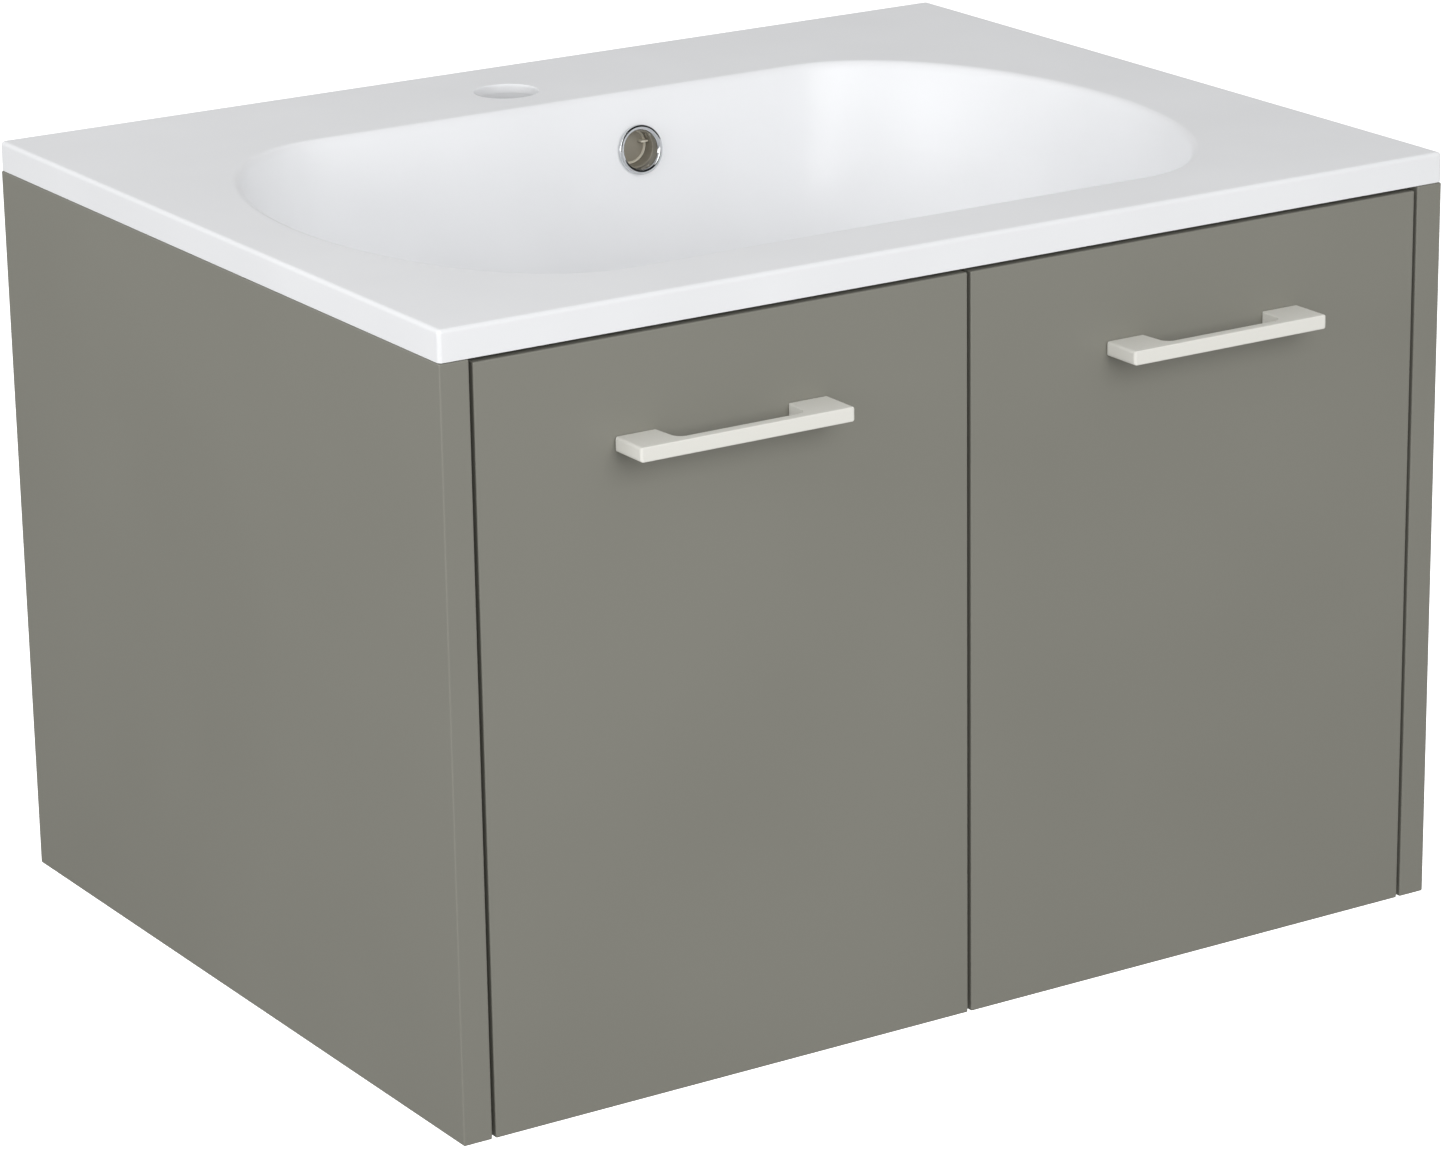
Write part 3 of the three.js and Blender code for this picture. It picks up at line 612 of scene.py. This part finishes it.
# ---- handles --------------------------------------------------------------------------------
# A bow handle is cast zinc with a satin nickel finish: a flat bar with a foot at each end, the
# feet flowing into the bar with a small hollow, and all its edges softened.

FOOT_LENGTH = 0.023
FOOT_SLANT = 0.0015
BAR_DEPTH = 0.006
FOOT_HOLLOW = 0.0050
CORNER_ROUND = 0.0016  # the bar's two ends, at the front and along the feet
HANDLE_EASE = 0.0006
SHARP_EDGE = 0.7  # an edge that turns by more than this angle is eased

nickel, tree, shader = new_material("satin_nickel", "#EAE9E2", roughness=0.42)
add_ripple(tree, shader, spacing=0.0012, height=0.000008, stretch=(0.08, 1, 1))

for side in ("left", "right"):
    low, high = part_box("handle_" + side)
    bar_back = low.y + BAR_DEPTH
    middle = (low.x + high.x) / 2
    half = (high.x - low.x) / 2
    handle = add_primitive(
        f"handle_{side}_casting",
        bpy.ops.mesh.primitive_cube_add,
        size=1,
        location=(middle, (low.y + bar_back) / 2, (low.z + high.z) / 2),
        scale=(high.x - low.x, BAR_DEPTH, high.z - low.z),
    )
    edit(handle)
    for x in (low.x + FOOT_LENGTH + FOOT_SLANT, high.x - FOOT_LENGTH - FOOT_SLANT):
        bpy.ops.mesh.select_all(action="SELECT")
        bpy.ops.mesh.bisect(plane_co=(x, 0, 0), plane_no=(1, 0, 0))
    bpy.ops.mesh.select_mode(type="FACE")
    bpy.ops.mesh.select_all(action="DESELECT")
    mesh = bmesh.from_edit_mesh(handle.data)
    for face in mesh.faces:
        centre = face.calc_center_median()
        face.select_set(centre.y > bar_back - TOUCH and abs(centre.x - middle) > half / 2)
    bmesh.update_edit_mesh(handle.data)
    bpy.ops.mesh.extrude_region_move(TRANSFORM_OT_translate={"value": (0, high.y - bar_back, 0)})
    mesh = bmesh.from_edit_mesh(handle.data)
    for vertex in mesh.verts:
        inner = abs(vertex.co.x - middle) < half - TOUCH
        if vertex.co.y > high.y - TOUCH and inner:
            vertex.co.x += math.copysign(FOOT_SLANT, vertex.co.x - middle)
    bmesh.update_edit_mesh(handle.data)
    bpy.ops.mesh.select_mode(type="EDGE")
    select_edges(handle, lambda a, b: (
        max(abs(a.y - bar_back), abs(b.y - bar_back), abs(a.x - b.x)) < TOUCH
        and abs(a.x - middle) < half - TOUCH
    ))
    bpy.ops.mesh.bevel(offset=FOOT_HOLLOW, segments=6, affect="EDGES")
    select_edges(handle, lambda a, b: (
        min(abs(a.x - middle), abs(b.x - middle)) > half - TOUCH
        and abs(a.x - b.x) < TOUCH
        and min(abs(a.z - b.z), abs(a.y - b.y)) < TOUCH
    ))
    bpy.ops.mesh.bevel(offset=CORNER_ROUND, segments=5, affect="EDGES")
    bpy.ops.object.mode_set(mode="OBJECT")
    apply_modifier(
        handle, "BEVEL", width=HANDLE_EASE, segments=3, limit_method="ANGLE",
        angle_limit=SHARP_EDGE,
    )
    smooth(handle)
    settle(handle, nickel, "door_" + side, "satin_nickel", "handle_" + side)

# ---- overflow -------------------------------------------------------------------------------
# A polished chrome ring trims the overflow in the bowl's back wall. Its sleeve sits in a grey
# polypropylene elbow, whose throat ends in a flat stop with a moulded bead and rib. Bead and rib
# are the elbow's grey plastic, coloured pale as a painted highlight for the light lines they catch.

RING_RADIUS = 0.0138
RING_BORE = 0.0106
SLEEVE_RADIUS = 0.0113
SLEEVE_LENGTH = 0.006
RING_PROUD = 0.0023  # how far its flat face stands off the bowl's wall
RING_FACE = (0.0005, 0.0020)  # the flat face's edges, inwards from the ring's outside
THROAT_RADIUS = 0.0101
THROAT_MOUTH = 0.0030
THROAT_DEPTH = 0.0108  # stop's face, behind the bowl's wall
STOP_THICKNESS = 0.0010
BEAD_HEIGHT = 0.0012
BEAD_WIDTH = 0.0012
RIB_CORNER = Vector((0.0052, 0.0066, 0.0018))  # its low corner, from the overflow's middle
RIB_TOP = 0.0029
RIB_EASE = 0.0004
HAIR = 0.0001  # keeps two faces from lying in one plane

chrome, tree, shader = new_material("polished_chrome", "#D9DBDD", roughness=0.06, metallic=1.0)
add_ripple(tree, shader, spacing=0.004, height=0.000002)
grey_plastic, tree, shader = new_material("grey_polypropylene", "#9A9486", roughness=0.5)
add_ripple(tree, shader, spacing=0.0012, height=0.00002)
add_tones(tree, shader, 0.02, "#969082", "#9E988A")
# Painted highlight: the elbow's grey plastic, coloured pale for the light that bead and rib catch.
painted_highlight_plastic, tree, shader = new_material("pale_polypropylene_painted_highlight", "#E6E0D0", roughness=0.4)
add_ripple(tree, shader, spacing=0.0012, height=0.00002)
add_tones(tree, shader, 0.02, "#E2DCCC", "#EAE4D4")


def wall_at(drop):
    """Y of the bowl's back wall, inside, at a depth below the top face."""
    wall = lower_wall + sharp_wall
    for (low_share, low_drop), (high_share, high_drop) in zip(wall, wall[1:]):
        if high_drop <= drop <= low_drop:
            mix = (low_drop - drop) / (low_drop - high_drop)
            return drain.y + RIM_HALF_WIDTH * (low_share + mix * (high_share - low_share))


def turn_into_place(piece, turn, place):
    """Turns a piece that was made about Z, and moves it to where it belongs."""
    bpy.ops.object.select_all(action="DESELECT")
    piece.select_set(True)
    bpy.context.view_layer.objects.active = piece
    piece.rotation_euler = turn
    piece.location = place
    bpy.ops.object.transform_apply(location=True, rotation=True, scale=True)


overflow_drop = top - overflow_middle.z
overflow_place = Vector((overflow_middle.x, wall_at(overflow_drop), overflow_middle.z))
wall_lean = math.atan2(
    wall_at(overflow_drop - RING_RADIUS) - wall_at(overflow_drop + RING_RADIUS), 2 * RING_RADIUS
)
ring = ringed("overflow_ring_chrome", (0, 0), [
    (RING_BORE, -SLEEVE_LENGTH),
    (SLEEVE_RADIUS, -SLEEVE_LENGTH),
    (SLEEVE_RADIUS, 0.0002),
    (RING_RADIUS, 0.0004),
    (RING_RADIUS, 0.0014),
    (RING_RADIUS - 0.0002, RING_PROUD - 0.0003),
    (RING_RADIUS - RING_FACE[0], RING_PROUD),
    (RING_RADIUS - RING_FACE[1], RING_PROUD),
    (RING_BORE + 0.0006, RING_PROUD - 0.0004),
    (RING_BORE + 0.0001, 0.0012),
    (RING_BORE, 0.0004),
], columns=72, closed=True)
turn_into_place(ring, (math.pi / 2 - wall_lean, 0, 0), overflow_place)
smooth(ring, math.radians(50))
settle(ring, chrome, "cabinet", "chrome_trim", "overflow_ring")

throat = ringed("overflow_throat_plastic", (0, 0), [
    (THROAT_RADIUS + 0.0003, -THROAT_MOUTH),
    (THROAT_RADIUS, -THROAT_MOUTH - 0.0003),
    (THROAT_RADIUS, -THROAT_DEPTH),
    (HAIR, -THROAT_DEPTH),
    (HAIR, -THROAT_DEPTH - STOP_THICKNESS),
    (THROAT_RADIUS + 0.0003, -THROAT_DEPTH - STOP_THICKNESS),
], columns=ROUND_COLUMNS, closed=True)
turn_into_place(throat, (math.pi / 2, 0, 0), overflow_place)
smooth(throat, math.radians(50))
settle(throat, grey_plastic, "cabinet", "grey_plastic")

bead = ringed("overflow_bead_plastic", (0, 0), [
    (THROAT_RADIUS - HAIR, -THROAT_DEPTH + HAIR),
    (THROAT_RADIUS - HAIR, -THROAT_DEPTH + BEAD_HEIGHT - 0.0004),
    (THROAT_RADIUS - 0.0004, -THROAT_DEPTH + BEAD_HEIGHT),
    (THROAT_RADIUS - BEAD_WIDTH + 0.0004, -THROAT_DEPTH + BEAD_HEIGHT),
    (THROAT_RADIUS - BEAD_WIDTH, -THROAT_DEPTH + BEAD_HEIGHT - 0.0005),
    (THROAT_RADIUS - BEAD_WIDTH - HAIR, -THROAT_DEPTH + HAIR),
], columns=ROUND_COLUMNS, closed=True)
turn_into_place(bead, (math.pi / 2, 0, 0), overflow_place)
smooth(bead, math.radians(50))
# painted highlight: the bead's pale colour stands for the light line it catches
settle(bead, painted_highlight_plastic, "cabinet", "grey_plastic")

rib_low = overflow_place + RIB_CORNER
rib_high = overflow_place + Vector((THROAT_RADIUS - 0.0004, THROAT_DEPTH - HAIR, RIB_TOP))
rib = bevelled_block("overflow_rib_plastic", rib_low, rib_high, RIB_EASE)
smooth(rib)
# painted highlight: the rib's pale colour stands for the light line it catches
settle(rib, painted_highlight_plastic, "cabinet", "grey_plastic")


def refined(node, ease, material, body, slot, segments=2):
    """A CAD node's own shape with its doubles merged and its edges eased."""
    piece = bpy.data.objects.new(node + "_eased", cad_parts[node].data.copy())
    bpy.context.scene.collection.objects.link(piece)
    edit(piece)
    bpy.ops.mesh.select_all(action="SELECT")
    bpy.ops.mesh.remove_doubles(threshold=1e-6)
    bpy.ops.mesh.dissolve_limited(angle_limit=math.radians(1))
    bpy.ops.object.mode_set(mode="OBJECT")
    if ease:
        apply_modifier(
            piece, "BEVEL", width=ease, segments=segments, limit_method="ANGLE",
            angle_limit=math.radians(40),
        )
    smooth(piece, math.radians(40))
    settle(piece, material, body, slot, node)
    return piece


refined("overflow_elbow", 0.0005, grey_plastic, "cabinet", "grey_plastic")
refined("overflow_collar", 0.0010, grey_plastic, "cabinet", "grey_plastic")
refined("overflow_pipe", 0, grey_plastic, "cabinet", "grey_plastic")

# ---- waste ----------------------------------------------------------------------------------
# The waste is chromed brass: a flanged tube, threaded outside, with a domed push-down plug. A
# rubber ring and a moulded nut clamp it under the basin, and a white cartridge holds the plug.

TUBE_RADIUS = 0.0210
TUBE_BORE = 0.0180
THREAD_PITCH = 0.0023
THREAD_DEPTH = 0.0011
THREAD_SHARES = (0.15, 0.45, 0.60, 0.90)  # a turn's low land, crest and next land, of its pitch
THREAD_STOP = 0.004  # plain length under the flange
STEM_RADIUS = 0.0070

white_plastic, tree, shader = new_material("white_acetal", "#E4E4E0", roughness=0.45)
add_ripple(tree, shader, spacing=0.0015, height=0.00002)
add_tones(tree, shader, 0.03, "#E1E1DD", "#E7E7E3")
rubber, tree, shader = new_material("black_rubber", "#262626", roughness=0.75)
add_ripple(tree, shader, spacing=0.0008, height=0.00004)
add_tones(tree, shader, 0.02, "#232323", "#2A2A2A")

floor_level = top - FLOOR_DEPTH
seat = floor_level - FLANGE_THICKNESS
flange_edge = FLANGE_RECESS - FLANGE_GAP
foot = waste_low.z
rings = [(TUBE_BORE, foot), (TUBE_RADIUS - THREAD_DEPTH, foot)]
turns = int((seat - THREAD_STOP - foot) / THREAD_PITCH)
for turn in range(turns):
    for share, depth in zip(THREAD_SHARES, (THREAD_DEPTH, 0, 0, THREAD_DEPTH)):
        rings.append((TUBE_RADIUS - depth, foot + THREAD_PITCH * (turn + share)))
rings += [
    (TUBE_RADIUS, foot + THREAD_PITCH * (turns + 0.3)),
    (TUBE_RADIUS, seat),
    (flange_edge, seat),
    (flange_edge, floor_level - 0.0009),
    (flange_edge - 0.0006, floor_level - 0.0003),
    (flange_edge - 0.0018, floor_level),
    (TUBE_BORE + 0.0040, floor_level),
    (TUBE_BORE + 0.0015, floor_level - 0.0004),
    (TUBE_BORE + 0.0004, floor_level - 0.0012),
    (TUBE_BORE, floor_level - 0.0025),
]
tube = ringed("waste_body_chrome", drain, rings, columns=ROUND_COLUMNS, closed=True)
smooth(tube, math.radians(28))
settle(tube, chrome, "cabinet", "chrome_trim", "waste_body")

plug_low, plug_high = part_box("waste_plug")
cap_radius = (plug_high.x - plug_low.x) / 2
cap_floor = floor_level + FLANGE_GAP
plug = ringed("waste_plug_chrome", drain, [
    (STEM_RADIUS, plug_low.z),
    (STEM_RADIUS, cap_floor),
    (cap_radius - 0.0006, cap_floor),
    (cap_radius - 0.0002, cap_floor + 0.0006),
    (cap_radius, cap_floor + 0.0014),
    (cap_radius - 0.0004, cap_floor + 0.0022),
    (cap_radius - 0.0014, cap_floor + 0.0029),
    (cap_radius * 0.85, cap_floor + 0.0036),
    (cap_radius * 0.65, cap_floor + 0.0044),
    (cap_radius * 0.42, cap_floor + 0.0049),
    (cap_radius * 0.20, cap_floor + 0.0051),
    (cap_radius * 0.04, plug_high.z),
], columns=72)
smooth(plug, math.radians(50))
settle(plug, chrome, "waste_plug_body", "chrome_trim", "waste_plug")

refined("waste_nut", 0.0008, grey_plastic, "cabinet", "grey_plastic")
refined("waste_seal", 0.0004, rubber, "cabinet", "seal_rubber")
refined("waste_cartridge", 0.0004, white_plastic, "cabinet", "white_plastic")

# ---- screws ---------------------------------------------------------------------------------
# Zinc-plated steel screws with rounded heads and a cross recess. One head is modelled, and
# each screw is a copy of it at its own place.

steel, tree, shader = new_material("nickel_plated_steel", "#C2C3C3", roughness=0.3, metallic=1.0)
add_ripple(tree, shader, spacing=0.0009, height=0.00001)
add_tones(tree, shader, 0.02, "#BDBEBE", "#C6C7C7")


def model_screw(name, head, rise, shank, length):
    """A screw about Z, its head's seat at zero and its shank below it."""
    screw = ringed(name, (0, 0), [
        (shank * 0.25, -length),
        (shank, -length + 2 * shank),
        (shank, 0.0),
        (head, 0.0),
        (head, rise * 0.35),
        (head * 0.93, rise * 0.65),
        (head * 0.75, rise * 0.88),
        (head * 0.5, rise),
        (head * 0.05, rise),
    ], columns=32)
    for turn in (0, math.pi / 2):
        blade = add_primitive(
            "cross_blade",
            bpy.ops.mesh.primitive_cube_add,
            size=1,
            location=(0, 0, rise),
            rotation=(0, 0, turn),
            scale=(head * 1.1, head * 0.22, rise * 1.1),
        )
        cut_away(screw, blade)
    return screw


def copy_screw(pattern, name, turn, place, body, slot, *nodes):
    """A copy of a screw with its own mesh, turned and moved to its place."""
    screw = bpy.data.objects.new(name, pattern.data.copy())
    bpy.context.scene.collection.objects.link(screw)
    turn_into_place(screw, turn, place)
    smooth(screw, math.radians(40))
    settle(screw, steel, body, slot, *nodes)


HANDLE_HEAD = 0.0023
FACING_BACK = (-math.pi / 2, 0, 0)
FACING_FRONT = (math.pi / 2, 0, 0)

small_screw = model_screw("small_screw", head=0.0034, rise=0.0012, shank=0.0016, length=0.008)
handle_screw = model_screw(
    "handle_screw", head=0.0040, rise=HANDLE_HEAD, shank=0.0019, length=0.0253
)
for side in ("left", "right"):
    for number in (1, 2):
        node = f"handle_screw_{side}_{number}"
        low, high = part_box(node)
        place = ((low.x + high.x) / 2, high.y - HANDLE_HEAD, (low.z + high.z) / 2)
        copy_screw(
            handle_screw, node + "_steel", FACING_BACK, place,
            "door_" + side, "hinge_steel", node,
        )

# ---- concealed hinges -----------------------------------------------------------------------
# Pressed and nickel-plated steel: a cup screwed into the door's back, a link on a pin, an arm
# on the side panel's plate. Cup, plate and arm each have two screws.

CUP_SCREW_INSET = 0.005
PLATE_SCREW_INSET = 0.008
ARM_SCREW_INSETS = (0.008, 0.021)  # from the arm's back end

for side, outward in (("left", -1), ("right", 1)):
    door = "door_" + side
    facing_in = (0, -outward * math.pi / 2, 0)
    for height in ("lower", "upper"):
        tag = f"{side}_{height}"
        refined("hinge_cup_" + tag, 0.0004, steel, door, "hinge_steel")
        refined("hinge_pin_" + tag, 0.0003, steel, door, "hinge_steel")
        refined("hinge_link_" + tag, 0.0005, steel, side + "_hinge_links", "hinge_steel")
        refined("hinge_arm_" + tag, 0.0009, steel, "cabinet", "hinge_steel", segments=3)
        refined("hinge_plate_" + tag, 0.0008, steel, "cabinet", "hinge_steel", segments=3)

        low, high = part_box("hinge_cup_" + tag)
        for end, level in enumerate((low.z + CUP_SCREW_INSET, high.z - CUP_SCREW_INSET)):
            copy_screw(
                small_screw, f"cup_screw_{tag}_{end + 1}", FACING_BACK,
                ((low.x + high.x) / 2, high.y, level), door, "hinge_steel",
            )
        low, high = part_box("hinge_plate_" + tag)
        inner_face = high.x if side == "left" else low.x
        for end, level in enumerate((low.z + PLATE_SCREW_INSET, high.z - PLATE_SCREW_INSET)):
            copy_screw(
                small_screw, f"plate_screw_{tag}_{end + 1}", facing_in,
                (inner_face, (low.y + high.y) / 2, level), "cabinet", "hinge_steel",
            )
        low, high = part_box("hinge_arm_" + tag)
        inner_face = high.x if side == "left" else low.x
        for end, inset in enumerate(ARM_SCREW_INSETS):
            copy_screw(
                small_screw, f"arm_screw_{tag}_{end + 1}", facing_in,
                (inner_face, high.y - inset, (low.z + high.z) / 2), "cabinet", "hinge_steel",
            )

# ---- hangers --------------------------------------------------------------------------------
# Each hanger is a moulded white housing on the side panel, with a steel hook that grips a
# plate on the wall. Two screws in its face set the cabinet's height and depth.

HANGER_SCREW_INSET = 0.014

for side in ("left", "right"):
    refined("hanger_housing_" + side, 0.0015, white_plastic, "cabinet", "white_plastic", segments=3)
    refined("hanger_hook_" + side, 0.0006, steel, "cabinet", "hinge_steel")
    low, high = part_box("hanger_housing_" + side)
    for end, level in enumerate((low.z + HANGER_SCREW_INSET, high.z - HANGER_SCREW_INSET)):
        copy_screw(
            small_screw, f"hanger_screw_{side}_{end + 1}", FACING_FRONT,
            ((low.x + high.x) / 2, low.y, level), "cabinet", "hinge_steel",
        )
for pattern in (small_screw, handle_screw):
    bpy.data.objects.remove(pattern)

# ---- door bumpers ---------------------------------------------------------------------------
# A clear polyurethane dome behind each door's free corner, stuck to the front rail.

clear_bumper, tree, shader = new_material("clear_polyurethane", "#D6D9DA", roughness=0.3)
add_ripple(tree, shader, spacing=0.001, height=0.00002)
add_tones(tree, shader, 0.01, "#D3D6D7", "#DADDDE")
for side in ("left", "right"):
    refined("door_bumper_" + side, 0.0006, clear_bumper, "cabinet", "bumper_plastic", segments=3)
